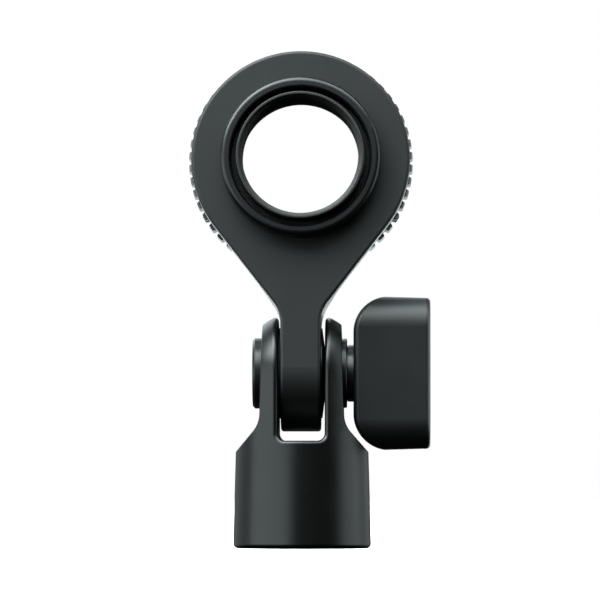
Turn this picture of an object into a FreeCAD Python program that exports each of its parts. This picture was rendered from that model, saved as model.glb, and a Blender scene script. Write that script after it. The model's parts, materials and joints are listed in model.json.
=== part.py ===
"""Swivel stand mount: a forked foot, a tilting ring plate and a threaded ring that holds a microphone.

Frame: +Z up, the origin at the centre of the foot's underside, the front towards -Y and the knob
towards +X. All lengths are millimetres. The head is drawn upright about the pivot and is then
leaned back by head_lean.
"""

import FreeCAD, Part
import math
import os

import Sketcher

Vector = FreeCAD.Vector
Rotation = FreeCAD.Rotation
Placement = FreeCAD.Placement

# ---------------------------------------------------------------------------
# Driving dimensions: alias, value, what it is
# ---------------------------------------------------------------------------
SIZES = [
    # Forked foot
    ("base_radius", 12.86, "radius of the turned foot at its underside"),
    ("side_draft", 1.6, "taper of the turned foot, degrees per side"),
    ("foot_rounding", 0.8, "rounding of the foot's lower edge"),
    ("pivot_height", 32.5, "height of the pivot axis over the underside"),
    ("dome_drop", 0.4, "how far the dome's centre lies under the pivot axis"),
    ("ear_thickness", 3.24, "thickness of each ear, at the pivot axis"),
    ("ear_draft", 1.4, "lean of the ears' outer faces, degrees"),
    ("shoulder_drop", 9.5, "how far under the pivot axis the ears run out into the shoulders"),
    ("shoulder_slope", 48.7, "slope of the shoulders, degrees from level"),
    ("shoulder_blend", 5.1, "hollow radius between ear and shoulder"),
    ("slot_width", 8.66, "width of the slot between the ears"),
    ("slot_drop", 12.6, "how far the slot's floor lies under the pivot axis"),
    ("slot_corner_radius", 1.4, "radius in the slot's lower corners"),
    ("slot_edge_rounding", 0.7, "rounding where the slot meets the turned surface"),
    ("ear_edge_rounding", 0.3, "rounding of the foot's other edges"),
    ("seat_depth", 0.12, "depth of the machined seats outside the ears, at the pivot axis"),
    ("loose_clearance", 0.3, "gap round a part in its recess, or round the bolt in a washer"),
    # Stand socket
    ("stand_thread_radius", 7.9375, "major radius of the 5/8 inch stand thread"),
    ("stand_socket_depth", 15.0, "depth of the stand socket"),
    ("stand_socket_lead", 0.3, "chamfer at the socket's mouth"),
    # Pivot bolt and its washers
    ("bolt_radius", 3.0, "radius of the pivot bolt's shank"),
    ("bolt_head_radius", 6.57, "radius of the pivot bolt's head"),
    ("bolt_head_thickness", 1.72, "thickness of the pivot bolt's head"),
    ("bolt_head_chamfer", 0.45, "chamfer round the bolt's head"),
    ("bolt_square_step", 0.3, "how far the square neck's flats stand out from the shank"),
    ("bolt_square_relief", 0.3, "how far the square neck stops short of the slot"),
    ("bolt_end_chamfer", 0.5, "chamfer at the bolt's end"),
    ("running_clearance", 0.06, "radial clearance of parts that turn on each other"),
    ("press_clearance", 0.01, "radial clearance of parts pressed into each other"),
    ("friction_disc_inset", 2.41, "how far the friction disc's rim lies inside the hub's"),
    ("friction_disc_thickness", 0.43, "thickness of the friction disc"),
    ("domed_washer_inset", 2.47, "how far the domed washer's rim lies inside the hub's"),
    ("domed_washer_height", 0.78, "height of the domed spring washer"),
    ("domed_washer_thickness", 0.25, "sheet thickness of the domed spring washer"),
    ("domed_washer_crown", 0.9, "width of the domed washer's flat crown"),
    ("domed_washer_rim", 0.3, "flat width at the domed washer's outer rim"),
    ("ear_washer_radius", 6.46, "outer radius of the washer outside the right ear"),
    ("ear_washer_thickness", 0.93, "thickness of the washer outside the right ear"),
    ("ear_washer_chamfer", 0.15, "chamfer round the washer"),
    ("thrust_shim_radius", 5.2, "outer radius of the thrust shim"),
    ("thrust_shim_thickness", 0.25, "thickness of the thrust shim"),
    # Head arm
    ("head_lean", 5.0, "how far the head leans back at rest, degrees"),
    ("hub_radius", 10.85, "radius of the hub about the pivot axis"),
    ("bush_wall", 1.1, "wall of the bush in the hub"),
    ("bush_recess", 0.05, "how far the bush lies under the hub's faces"),
    ("ring_height", 38.8, "distance from the pivot axis to the ring's centre"),
    ("plate_margin", 5.5, "width of the ring plate outside the collar"),
    ("plate_thickness", 3.5, "thickness of the ring plate"),
    ("plate_rounding", 0.55, "rounding of the arm's edges"),
    ("neck_inset", 0.37, "how far the neck's upper end lies inside the hub's radius"),
    ("flare_blend", 6.0, "hollow radius between the slanted sides and the neck"),
    ("swell_clearance", 2.6, "how far under the thumb ring the arm starts to thicken"),
    ("swell_blend", 3.0, "hollow radius where the arm starts to thicken"),
    # Front collar
    ("collar_step", 0.85, "how far the collar stands out from its spigot"),
    ("collar_height", 4.5, "how far the collar stands proud of the plate"),
    ("collar_rounding", 0.85, "rounding of the collar's outer edge"),
    ("collar_lead", 0.2, "chamfer of the collar's inner edge"),
    ("collar_spigot_wall", 0.89, "wall of the collar's spigot in the plate"),
    ("collar_ledge_depth", 0.9, "depth of the collar's inner ledge under the plate's face"),
    # Thread sleeve and thumb ring
    ("sleeve_thread_radius", 11.25, "major radius of the microphone thread"),
    ("sleeve_wall", 0.6, "wall of the thread sleeve"),
    ("sleeve_height", 5.7, "how far the sleeve stands proud of the plate"),
    ("sleeve_rounding", 0.2, "rounding of the sleeve's rim"),
    ("sleeve_lead", 0.25, "chamfer of the thread's back mouth"),
    ("sleeve_recess", 0.3, "how far the sleeve stops short of the thumb ring's back"),
    ("flange_width", 0.9, "width of the sleeve's flange"),
    ("flange_clearance", 0.31, "gap round the sleeve's flange in the collar"),
    ("flange_thickness", 1.0, "thickness of the sleeve's flange"),
    ("slip_washer_thickness", 0.4, "thickness of both slip washers"),
    ("slip_washer_clearance", 0.2, "gap round the slip washers"),
    ("back_washer_inset", 2.8, "how far the back slip washer's rim lies inside the plate's"),
    ("thumb_overhang", 0.5, "how far the thumb ring's teeth stand out past the plate"),
    ("thumb_thickness", 4.2, "thickness of the thumb ring"),
    ("thumb_chamfer", 0.35, "chamfer of the thumb ring's edges"),
    ("thumb_hub_width", 2.2, "width of the land inside the recess in the thumb ring's back"),
    ("thumb_rim_width", 2.6, "width of the land outside that recess"),
    ("thumb_recess_depth", 0.6, "depth of the recess in the thumb ring's back"),
    ("tooth_count", 54, "number of teeth on the thumb ring"),
    ("tooth_depth", 0.75, "depth of the gaps between the teeth"),
    ("tooth_gap_mouth", 1.2, "width of a gap at the teeth's tips"),
    ("tooth_gap_floor", 0.7, "width of a gap at its floor"),
    ("grub_count", 3, "number of grub screws in the thumb ring"),
    ("grub_radius", 1.25, "radius of a grub screw"),
    ("grub_length", 4.5, "length of a grub screw"),
    ("grub_socket_width", 1.3, "width over flats of the grub screw's socket"),
    ("grub_socket_depth", 1.5, "depth of the grub screw's socket"),
    # Wing knob
    ("knob_gap", 0.97, "length of the insert's neck that shows beside the knob"),
    ("knob_half_height", 14.45, "half of the wing's height, at the fork's side"),
    ("knob_half_thickness", 5.8, "half of the wing's thickness, at the fork's side"),
    ("knob_draft", 1.6, "taper of the wing towards its outer end, degrees"),
    ("knob_corner_cut", 3.95, "legs of the wing's slanted corners at the fork's side"),
    ("knob_corner_blend", 6.6, "rounding of both ends of a slanted corner"),
    ("knob_edge_rounding", 1.0, "rounding of the wing's edge at the fork's side"),
    ("knob_end_rounding", 0.85, "rounding of the wing's outer end"),
    ("insert_neck_radius", 5.3, "radius of the insert's neck"),
    ("insert_wall", 1.14, "wall of the insert inside the knob"),
    ("insert_depth", 8.0, "length of the insert inside the knob"),
    ("insert_chamfer", 0.3, "chamfers on the insert"),
    ("knob_travel", 1.5, "how far the knob can back off before its stop"),
    ("stop_gap", 0.1, "gap left at the knob's stop"),
    ("stop_washer_thickness", 0.8, "thickness of the stop washer"),
    ("knob_recess_step", 0.3, "how far the recess in the knob's end is tighter than the insert"),
    ("stop_screw_radius", 1.25, "radius of the stop screw's shank"),
    ("stop_screw_length", 5.5, "length of the stop screw in the bolt"),
    ("stop_screw_head_radius", 2.2, "radius of the stop screw's head"),
    ("stop_screw_head_height", 1.4, "height of the stop screw's head"),
    ("stop_screw_socket_width", 1.5, "width over flats of the stop screw's socket"),
    ("stop_screw_socket_depth", 0.8, "depth of the stop screw's socket"),
    ("screw_hole_spare", 1.0, "depth of the bolt's tapped hole past its screw"),
    ("cap_clearance", 1.15, "gap between the stop screw's head and the cap"),
    ("cap_thickness", 1.2, "thickness of the cap in the knob's end"),
    ("cap_recess", 0.15, "how far the cap lies under the knob's end"),
    ("cut_margin", 2.0, "how far cutting shapes reach past the metal"),
]

document = FreeCAD.newDocument("SwivelMount")
sheet = document.addObject("Spreadsheet::Sheet", "Sizes")
for row, (alias, value, meaning) in enumerate(SIZES, start=1):
    sheet.set("A%d" % row, alias)
    sheet.set("B%d" % row, str(value))
    sheet.set("C%d" % row, meaning)
    sheet.setAlias("B%d" % row, alias)
document.recompute()

# ---------------------------------------------------------------------------
# Derived places, as expressions over the sheet
# ---------------------------------------------------------------------------
DOME_Z = "(Sizes.pivot_height - Sizes.dome_drop)"
DOME_RADIUS = (
    "((Sizes.base_radius - " + DOME_Z + " * tan(Sizes.side_draft * 1deg))"
    " * cos(Sizes.side_draft * 1deg))"
)
DOME_START_R = "(" + DOME_RADIUS + " * cos(Sizes.side_draft * 1deg))"
DOME_START_Z = "(" + DOME_Z + " + " + DOME_RADIUS + " * sin(Sizes.side_draft * 1deg))"
DOME_TOP_Z = "(" + DOME_Z + " + " + DOME_RADIUS + ")"
SLOT_FLOOR_Z = "(Sizes.pivot_height - Sizes.slot_drop)"
EAR_X = "(Sizes.slot_width / 2 + Sizes.ear_thickness)"
SHOULDER_Z = "(Sizes.pivot_height - Sizes.shoulder_drop)"
SHOULDER_X = "(" + EAR_X + " + Sizes.shoulder_drop * tan(Sizes.ear_draft * 1deg))"
CUT_X = "(Sizes.base_radius + Sizes.cut_margin)"
CUT_TOP_Z = "(" + DOME_TOP_Z + " + Sizes.cut_margin)"
CUT_LOW_Z = "(" + SHOULDER_Z + " - (" + CUT_X + " - " + SHOULDER_X + ") * tan(Sizes.shoulder_slope * 1deg))"
EAR_TOP_X = "(" + EAR_X + " - (" + CUT_TOP_Z + " - Sizes.pivot_height) * tan(Sizes.ear_draft * 1deg))"
BOLT_HOLE_RADIUS = "(Sizes.bolt_radius + Sizes.running_clearance)"
BUSH_RADIUS = "(" + BOLT_HOLE_RADIUS + " + Sizes.bush_wall)"
WASHER_BORE_RADIUS = "(Sizes.bolt_radius + Sizes.loose_clearance)"
SQUARE_HALF_WIDTH = "(Sizes.bolt_radius + Sizes.bolt_square_step)"
INSERT_RADIUS = "(" + BOLT_HOLE_RADIUS + " + Sizes.insert_wall)"
KNOB_RECESS_RADIUS = "(" + INSERT_RADIUS + " - Sizes.knob_recess_step)"
SCREW_HOLE_RADIUS = "(Sizes.stop_screw_radius + Sizes.press_clearance)"

# Stations along the pivot axis, from the fork's middle
LEFT_SEAT_X = "(Sizes.seat_depth - " + EAR_X + ")"
BOLT_HEAD_X = "(" + LEFT_SEAT_X + " - Sizes.bolt_head_thickness)"
RIGHT_SEAT_X = "(" + EAR_X + " - Sizes.seat_depth)"
LEFT_EAR_X = "(-Sizes.slot_width / 2)"
RIGHT_EAR_X = "(Sizes.slot_width / 2)"
HUB_LEFT_X = "(" + LEFT_EAR_X + " + Sizes.friction_disc_thickness)"
HUB_RIGHT_X = "(" + RIGHT_EAR_X + " - Sizes.domed_washer_height)"
HUB_WIDTH = "(" + HUB_RIGHT_X + " - " + HUB_LEFT_X + ")"
HUB_MIDDLE_X = "((" + HUB_LEFT_X + " + " + HUB_RIGHT_X + ") / 2)"
SHIM_X = "(" + RIGHT_SEAT_X + " + Sizes.ear_washer_thickness)"
INSERT_X = "(" + SHIM_X + " + Sizes.thrust_shim_thickness)"
KNOB_X = "(" + INSERT_X + " + Sizes.knob_gap)"
INSERT_END_X = "(" + KNOB_X + " + Sizes.insert_depth)"
BOLT_END_X = "(" + INSERT_END_X + " + Sizes.knob_travel + Sizes.stop_gap)"
STOP_HEAD_X = "(" + BOLT_END_X + " + Sizes.stop_washer_thickness)"
STOP_TOP_X = "(" + STOP_HEAD_X + " + Sizes.stop_screw_head_height)"
CAP_X = "(" + STOP_TOP_X + " + Sizes.cap_clearance)"
CAP_END_X = "(" + CAP_X + " + Sizes.cap_thickness)"
KNOB_END_X = "(" + CAP_END_X + " + Sizes.cap_recess)"

# Stations along the ring's axis, forwards from the plate's front face
LEDGE_Z = "(-Sizes.collar_ledge_depth)"
FLANGE_Z = "(" + LEDGE_Z + " + Sizes.slip_washer_thickness)"
PLATE_BACK_Z = "(-Sizes.plate_thickness)"
THUMB_FRONT_Z = "(" + PLATE_BACK_Z + " - Sizes.slip_washer_thickness)"
THUMB_BACK_Z = "(" + THUMB_FRONT_Z + " - Sizes.thumb_thickness)"
THUMB_MIDDLE_Z = "(" + THUMB_FRONT_Z + " - Sizes.thumb_thickness / 2)"
SLEEVE_BACK_Z = "(" + THUMB_BACK_Z + " + Sizes.sleeve_recess)"

# Radii about the ring's axis, from the thread outwards
SLEEVE_RADIUS = "(Sizes.sleeve_thread_radius + Sizes.sleeve_wall)"
BEARING_RADIUS = "(" + SLEEVE_RADIUS + " + Sizes.running_clearance)"
FLANGE_RADIUS = "(" + SLEEVE_RADIUS + " + Sizes.flange_width)"
COLLAR_BORE_RADIUS = "(" + FLANGE_RADIUS + " + Sizes.flange_clearance)"
SPIGOT_RADIUS = "(" + COLLAR_BORE_RADIUS + " + Sizes.collar_spigot_wall)"
COLLAR_RADIUS = "(" + SPIGOT_RADIUS + " + Sizes.collar_step)"
PLATE_RADIUS = "(" + COLLAR_RADIUS + " + Sizes.plate_margin)"
THUMB_RADIUS = "(" + PLATE_RADIUS + " + Sizes.thumb_overhang)"
SLIP_WASHER_BORE_RADIUS = "(" + SLEEVE_RADIUS + " + Sizes.slip_washer_clearance)"

# The arm's side view: the thickened back runs down from the plate's back in a line that touches
# the hub. That line, drawn on, crosses the upright that touches the hub's rear at the hub's corner.
SWELL_Y = "(Sizes.plate_thickness - Sizes.hub_radius)"
SWELL_Z = "(Sizes.ring_height - " + THUMB_RADIUS + " - Sizes.swell_clearance)"
SWELL_REACH = "sqrt(" + SWELL_Y + " ^ 2 + " + SWELL_Z + " ^ 2)"
SWELL_TURN = "(acos(Sizes.hub_radius / " + SWELL_REACH + ") - atan(-" + SWELL_Y + " / " + SWELL_Z + "))"
HUB_CORNER_Z = "(Sizes.hub_radius * tan((90deg - " + SWELL_TURN + ") / 2))"

# The arm's front view: from the neck's upper end the slanted sides run up to touch the ring's rim
NECK_X = "(" + HUB_WIDTH + " / 2)"
NECK_Z = "(Sizes.hub_radius - Sizes.neck_inset)"
NECK_DROP = "(Sizes.ring_height - " + NECK_Z + ")"
NECK_REACH = "sqrt(" + NECK_X + " ^ 2 + " + NECK_DROP + " ^ 2)"
TOUCH_TURN = "(atan(" + NECK_DROP + " / " + NECK_X + ") - acos(" + PLATE_RADIUS + " / " + NECK_REACH + "))"
TOUCH_X = "(" + PLATE_RADIUS + " * cos(" + TOUCH_TURN + "))"
TOUCH_Z = "(Sizes.ring_height - " + PLATE_RADIUS + " * sin(" + TOUCH_TURN + "))"

FULL_TURN = 360
NEARLY = 1e-4
SAME_PLACE = 0.01
SHARP = math.radians(12)


def number(expression):
    """The value of an expression over the sheet."""
    return float(sheet.evalExpression(expression))


# ---------------------------------------------------------------------------
# Building blocks
# ---------------------------------------------------------------------------
def new_body(label, place=Placement()):
    body = document.addObject("PartDesign::Body", label)
    body.Label = label
    body.Placement = place
    return body


def plane_of(body, role):
    """One of the body's own origin planes."""
    for feature in body.Origin.OriginFeatures:
        if feature.Role == role:
            return feature
    raise ValueError(role)


def new_sketch(body, role, name, offset="0"):
    """A sketch on an origin plane, moved along the plane's normal by an expression."""
    sketch = body.newObject("Sketcher::SketchObject", name)
    sketch.AttachmentSupport = (plane_of(body, role), [""])
    sketch.MapMode = "FlatFace"
    sketch.setExpression("AttachmentOffset.Base.z", offset)
    return sketch


def pin_point(sketch, element, end, across, up):
    """Ties a point of a sketch to two expressions, measured from the origin."""
    for kind, expression, axis in (("DistanceX", across, -2), ("DistanceY", up, -1)):
        place = number(expression)
        if abs(place) < NEARLY:
            sketch.addConstraint(Sketcher.Constraint("PointOnObject", element, end, axis))
            continue
        constraint = sketch.addConstraint(Sketcher.Constraint(kind, -1, 1, element, end, place))
        sketch.setExpression("Constraints[%d]" % constraint, expression)


def pin_radius(sketch, element, radius):
    constraint = sketch.addConstraint(Sketcher.Constraint("Radius", element, number(radius)))
    sketch.setExpression("Constraints[%d]" % constraint, radius)


def rounding_arc(before, corner, after, radius):
    """Start, middle and end of the arc of a radius that touches both sides of a corner."""
    to_before = (before - corner).normalize()
    to_after = (after - corner).normalize()
    half_angle = to_before.getAngle(to_after) / 2
    start = corner + to_before * (radius / math.tan(half_angle))
    end = corner + to_after * (radius / math.tan(half_angle))
    centre = corner + (to_before + to_after).normalize() * (radius / math.sin(half_angle))
    middle = centre + (corner - centre).normalize() * radius
    return start, middle, end


def ends_from(sketch, arc, point):
    """The arc's two ends, the one at the point first: 1 names its start and 2 its end."""
    to_start = sketch.getPoint(arc, 1).distanceToPoint(point)
    to_end = sketch.getPoint(arc, 2).distanceToPoint(point)
    return (1, 2) if to_start < to_end else (2, 1)


def draw_outline(sketch, corners):
    """A closed run of straight lines. A corner is (across, up) or, rounded, (across, up, radius)."""
    points = [Vector(number(corner[0]), number(corner[1]), 0) for corner in corners]
    count = len(points)
    arrivals = list(points)
    departures = list(points)
    arcs = {}
    for index, (across, up, *radius) in enumerate(corners):
        if radius:
            after = points[(index + 1) % count]
            bend = rounding_arc(points[index - 1], points[index], after, number(*radius))
            arrivals[index], departures[index] = bend[0], bend[2]
            arcs[index] = Part.Arc(*bend)
    first = sketch.GeometryCount
    for index in range(count):
        sketch.addGeometry(Part.LineSegment(departures[index], arrivals[(index + 1) % count]), False)
    for index, (across, up, *radius) in enumerate(corners):
        line_in = first + (index - 1) % count
        line_out = first + index
        if not radius:
            sketch.addConstraint(Sketcher.Constraint("Coincident", line_in, 2, line_out, 1))
            pin_point(sketch, line_out, 1, across, up)
            continue
        arc = sketch.addGeometry(arcs[index], False)
        arc_start, arc_end = ends_from(sketch, arc, arrivals[index])
        sketch.addConstraint(Sketcher.Constraint("Tangent", line_in, 2, arc, arc_start))
        sketch.addConstraint(Sketcher.Constraint("Tangent", arc, arc_end, line_out, 1))
        peak = sketch.addGeometry(Part.Point(points[index]), True)
        sketch.addConstraint(Sketcher.Constraint("PointOnObject", peak, 1, line_in))
        sketch.addConstraint(Sketcher.Constraint("PointOnObject", peak, 1, line_out))
        pin_point(sketch, peak, 1, across, up)
        pin_radius(sketch, arc, *radius)


def draw_circle(sketch, across, up, radius):
    """A circle with its centre and radius tied to expressions."""
    centre = Vector(number(across), number(up), 0)
    circle = sketch.addGeometry(Part.Circle(centre, Vector(0, 0, 1), number(radius)), False)
    pin_point(sketch, circle, 3, across, up)
    pin_radius(sketch, circle, radius)


def hexagon(across_flats, middle_up="0"):
    """Corners of an upright hexagon for a socket key."""
    reach = "(" + across_flats + " / sqrt(3))"
    corners = []
    for turn in range(0, FULL_TURN, FULL_TURN // 6):
        across = "%s * cos(%ddeg)" % (reach, turn)
        up = "%s + %s * sin(%ddeg)" % (middle_up, reach, turn)
        corners.append((across, up))
    return corners


def add_pad(body, sketch, name, length, side="One side", backwards=False):
    pad = body.newObject("PartDesign::Pad", name)
    pad.Profile = sketch
    pad.SideType = side
    pad.Reversed = backwards
    pad.setExpression("Length", length)
    document.recompute()
    return pad


def add_pocket(body, sketch, name, length, side="One side", backwards=False):
    """A cut, which has to take metal away: one that faces the wrong way raises an error."""
    before = body.Shape.Volume
    pocket = body.newObject("PartDesign::Pocket", name)
    pocket.Profile = sketch
    pocket.SideType = side
    pocket.Reversed = backwards
    pocket.setExpression("Length", length)
    document.recompute()
    if body.Shape.Volume > before - NEARLY:
        raise RuntimeError(name + " cuts nothing")
    return pocket


def add_turned(body, corners, name, cutting=False):
    """Turns a profile of (radius, height) corners about the body's Z axis, or cuts with it."""
    sketch = new_sketch(body, "XZ_Plane", name + "_profile")
    draw_outline(sketch, corners)
    feature = body.newObject("PartDesign::Groove" if cutting else "PartDesign::Revolution", name)
    feature.Profile = sketch
    feature.ReferenceAxis = (sketch, ["V_Axis"])
    feature.Angle = FULL_TURN
    document.recompute()
    return feature


def add_circle_of(body, features, name, count):
    """Repeats features round the body's Z axis."""
    before = body.Shape.Volume
    pattern = body.newObject("PartDesign::PolarPattern", name)
    pattern.Originals = features
    pattern.Axis = (plane_of(body, "Z_Axis"), [""])
    pattern.Angle = FULL_TURN
    pattern.setExpression("Occurrences", count)
    body.Tip = pattern
    document.recompute()
    if abs(body.Shape.Volume - before) < NEARLY:
        raise RuntimeError(name + " changes nothing")
    return pattern


def on_rim(radius, height):
    """A test for circular edges about the Z axis with this radius and height."""
    wanted_radius = number(radius)
    wanted_height = number(height)

    def test(edge):
        if not isinstance(edge.Curve, Part.Circle):
            return False
        centre = edge.Curve.Center
        off_axis = abs(centre.x) + abs(centre.y) + abs(centre.z - wanted_height)
        return off_axis < SAME_PLACE and abs(edge.Curve.Radius - wanted_radius) < SAME_PLACE

    return test


def on_sharp_edge(body):
    """A test for edges whose two faces meet at a visible angle."""
    shape = body.Tip.Shape

    def test(edge):
        faces = shape.ancestorsOfType(edge, Part.Face)
        if len(faces) < 2:
            return False
        middle = edge.valueAt((edge.FirstParameter + edge.LastParameter) / 2)
        normals = [face.normalAt(*face.Surface.parameter(middle)) for face in faces[:2]]
        return normals[0].getAngle(normals[1]) > SHARP

    return test


def dress(body, kind, name, size, *tests):
    """Rounds ("Fillet") or bevels ("Chamfer") the tip's edges that pass one of the tests."""
    base = body.Tip
    names = []
    for index, edge in enumerate(base.Shape.Edges, start=1):
        if any(test(edge) for test in tests):
            names.append("Edge%d" % index)
    if not names:
        raise RuntimeError(name + " finds no edge")
    feature = body.newObject("PartDesign::" + kind, name)
    feature.Base = (base, names)
    feature.setExpression("Radius" if kind == "Fillet" else "Size", size)
    document.recompute()
    return feature


def turned_part(label, place, corners):
    """A part that is one turned profile."""
    body = new_body(label, place)
    add_turned(body, corners, label + "_form")
    return body


def ring_part(label, place, inner, outer, low, high):
    """A plain washer or bush."""
    return turned_part(label, place, [(inner, low), (outer, low), (outer, high), (inner, high)])


# ---------------------------------------------------------------------------
# Where the sub-assemblies stand. Parts on the pivot axis are drawn with Z along that axis and
# their zero in the fork's middle; parts on the ring's axis with Z forwards from the plate's face.
# ---------------------------------------------------------------------------
AXIS_TO_RIGHT = Placement(Vector(), Rotation(Vector(0, 1, 0), 90))
AXIS_TO_FRONT = Rotation(Vector(1, 0, 0), 90)
PIVOT_PLACE = Placement(Vector(0, 0, number("Sizes.pivot_height")), Rotation())
LEAN = Placement(Vector(), Rotation(Vector(1, 0, 0), -number("Sizes.head_lean")))
HEAD_PLACE = PIVOT_PLACE.multiply(LEAN)
ON_PIVOT = PIVOT_PLACE.multiply(AXIS_TO_RIGHT)
ON_HEAD_PIVOT = HEAD_PLACE.multiply(AXIS_TO_RIGHT)
RING_CENTRE = Vector(number(HUB_MIDDLE_X), -number("Sizes.hub_radius"), number("Sizes.ring_height"))
ON_RING = HEAD_PLACE.multiply(Placement(RING_CENTRE, AXIS_TO_FRONT))


# ---------------------------------------------------------------------------
# Forked foot
# ---------------------------------------------------------------------------
def draw_foot_profile(sketch):
    """Half of the turned bar: flat underside, tapered side, and a ball end on the axis."""
    foot = Vector(number("Sizes.base_radius"), 0, 0)
    start = Vector(number(DOME_START_R), number(DOME_START_Z), 0)
    top = Vector(0, number(DOME_TOP_Z), 0)
    ball = Part.Circle(Vector(0, number(DOME_Z), 0), Vector(0, 0, 1), number(DOME_RADIUS))
    dome = Part.ArcOfCircle(ball, ball.parameter(start), ball.parameter(top))
    underside = sketch.addGeometry(Part.LineSegment(Vector(), foot), False)
    side = sketch.addGeometry(Part.LineSegment(foot, start), False)
    arc = sketch.addGeometry(dome, False)
    middle = sketch.addGeometry(Part.LineSegment(top, Vector()), False)
    joints = ((underside, side), (side, arc), (arc, middle), (middle, underside))
    for element, following in joints:
        sketch.addConstraint(Sketcher.Constraint("Coincident", element, 2, following, 1))
    sketch.addConstraint(Sketcher.Constraint("Coincident", underside, 1, -1, 1))
    sketch.addConstraint(Sketcher.Constraint("PointOnObject", arc, 2, -2))
    pin_point(sketch, underside, 2, "Sizes.base_radius", "0")
    pin_point(sketch, side, 2, DOME_START_R, DOME_START_Z)
    pin_point(sketch, arc, 3, "0", DOME_Z)


def build_stand_yoke():
    """The foot: a turned, ball-ended bar with milled sides, a slot and the stand socket."""
    body = new_body("stand_yoke")
    profile = new_sketch(body, "XZ_Plane", "foot_profile")
    draw_foot_profile(profile)
    foot = body.newObject("PartDesign::Revolution", "foot")
    foot.Profile = profile
    foot.ReferenceAxis = (profile, ["V_Axis"])
    foot.Angle = FULL_TURN
    document.recompute()

    across_foot = "(2 * " + CUT_X + ")"
    for sign, name in (("", "right_side"), ("-", "left_side")):
        sketch = new_sketch(body, "XZ_Plane", name + "_profile")
        corners = [
            (sign + EAR_TOP_X, CUT_TOP_Z),
            (sign + SHOULDER_X, SHOULDER_Z, "Sizes.shoulder_blend"),
            (sign + CUT_X, CUT_LOW_Z),
            (sign + CUT_X, CUT_TOP_Z),
        ]
        draw_outline(sketch, corners)
        add_pocket(body, sketch, name, across_foot, side="Symmetric")

    slot = new_sketch(body, "XZ_Plane", "slot_profile")
    draw_outline(
        slot,
        [
            (LEFT_EAR_X, SLOT_FLOOR_Z, "Sizes.slot_corner_radius"),
            (RIGHT_EAR_X, SLOT_FLOOR_Z, "Sizes.slot_corner_radius"),
            (RIGHT_EAR_X, CUT_TOP_Z),
            (LEFT_EAR_X, CUT_TOP_Z),
        ],
    )
    add_pocket(body, slot, "slot", across_foot, side="Symmetric")

    def on_slot_mouth(edge):
        """Where the slot's faces meet the turned surface."""
        reach = max(abs(edge.BoundBox.XMin), abs(edge.BoundBox.XMax))
        return reach < number(RIGHT_EAR_X) + SAME_PLACE and not isinstance(edge.Curve, Part.Line)

    dress(body, "Fillet", "slot_mouth", "Sizes.slot_edge_rounding", on_slot_mouth)
    dress(body, "Fillet", "foot_edge", "Sizes.foot_rounding", on_rim("Sizes.base_radius", "0"))
    dress(body, "Fillet", "ear_edges", "Sizes.ear_edge_rounding", on_sharp_edge(body))

    add_turned(
        body,
        [
            ("0", "0"),
            ("Sizes.stand_thread_radius + Sizes.stand_socket_lead", "0"),
            ("Sizes.stand_thread_radius", "Sizes.stand_socket_lead"),
            ("Sizes.stand_thread_radius", "Sizes.stand_socket_depth"),
            ("0", "Sizes.stand_socket_depth"),
        ],
        "stand_socket",
        cutting=True,
    )

    head_seat = new_sketch(body, "YZ_Plane", "head_seat_profile", LEFT_SEAT_X)
    draw_circle(head_seat, "0", "Sizes.pivot_height", "Sizes.bolt_head_radius + Sizes.loose_clearance")
    add_pocket(body, head_seat, "head_seat", "Sizes.cut_margin")
    washer_seat = new_sketch(body, "YZ_Plane", "washer_seat_profile", RIGHT_SEAT_X)
    draw_circle(washer_seat, "0", "Sizes.pivot_height", "Sizes.ear_washer_radius + Sizes.loose_clearance")
    add_pocket(body, washer_seat, "washer_seat", "Sizes.cut_margin", backwards=True)

    bolt_hole = new_sketch(body, "YZ_Plane", "bolt_hole_profile")
    draw_circle(bolt_hole, "0", "Sizes.pivot_height", BOLT_HOLE_RADIUS)
    add_pocket(body, bolt_hole, "bolt_hole", CUT_X, backwards=True)
    bolt_square = new_sketch(body, "YZ_Plane", "bolt_square_profile")
    half_square = "(" + SQUARE_HALF_WIDTH + " + Sizes.running_clearance)"
    low = "(Sizes.pivot_height - " + half_square + ")"
    high = "(Sizes.pivot_height + " + half_square + ")"
    left, right = "-" + half_square, half_square
    draw_outline(bolt_square, [(left, low), (right, low), (right, high), (left, high)])
    add_pocket(body, bolt_square, "bolt_square", CUT_X)
    return body


# ---------------------------------------------------------------------------
# Pivot bolt, washers and bush
# ---------------------------------------------------------------------------
def build_pivot_bolt():
    """A bolt with a flat round head, a square neck in the left ear and a tapped end."""
    body = turned_part(
        "pivot_bolt",
        ON_PIVOT,
        [
            ("0", BOLT_HEAD_X),
            ("Sizes.bolt_head_radius", BOLT_HEAD_X),
            ("Sizes.bolt_head_radius", LEFT_SEAT_X),
            ("Sizes.bolt_radius", LEFT_SEAT_X),
            ("Sizes.bolt_radius", BOLT_END_X),
            ("0", BOLT_END_X),
        ],
    )
    neck = new_sketch(body, "XY_Plane", "square_neck_profile", LEFT_SEAT_X)
    half = SQUARE_HALF_WIDTH
    draw_outline(neck, [("-" + half, "-" + half), (half, "-" + half), (half, half), ("-" + half, half)])
    neck_length = LEFT_EAR_X + " - " + LEFT_SEAT_X + " - Sizes.bolt_square_relief"
    add_pad(body, neck, "square_neck", neck_length)
    head_rim = on_rim("Sizes.bolt_head_radius", BOLT_HEAD_X)
    dress(body, "Chamfer", "head_edge", "Sizes.bolt_head_chamfer", head_rim)
    dress(body, "Chamfer", "end_edge", "Sizes.bolt_end_chamfer", on_rim("Sizes.bolt_radius", BOLT_END_X))
    hole = new_sketch(body, "XY_Plane", "screw_hole_profile", BOLT_END_X)
    draw_circle(hole, "0", "0", SCREW_HOLE_RADIUS)
    add_pocket(body, hole, "screw_hole", "Sizes.stop_screw_length + Sizes.screw_hole_spare")
    return body


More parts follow.
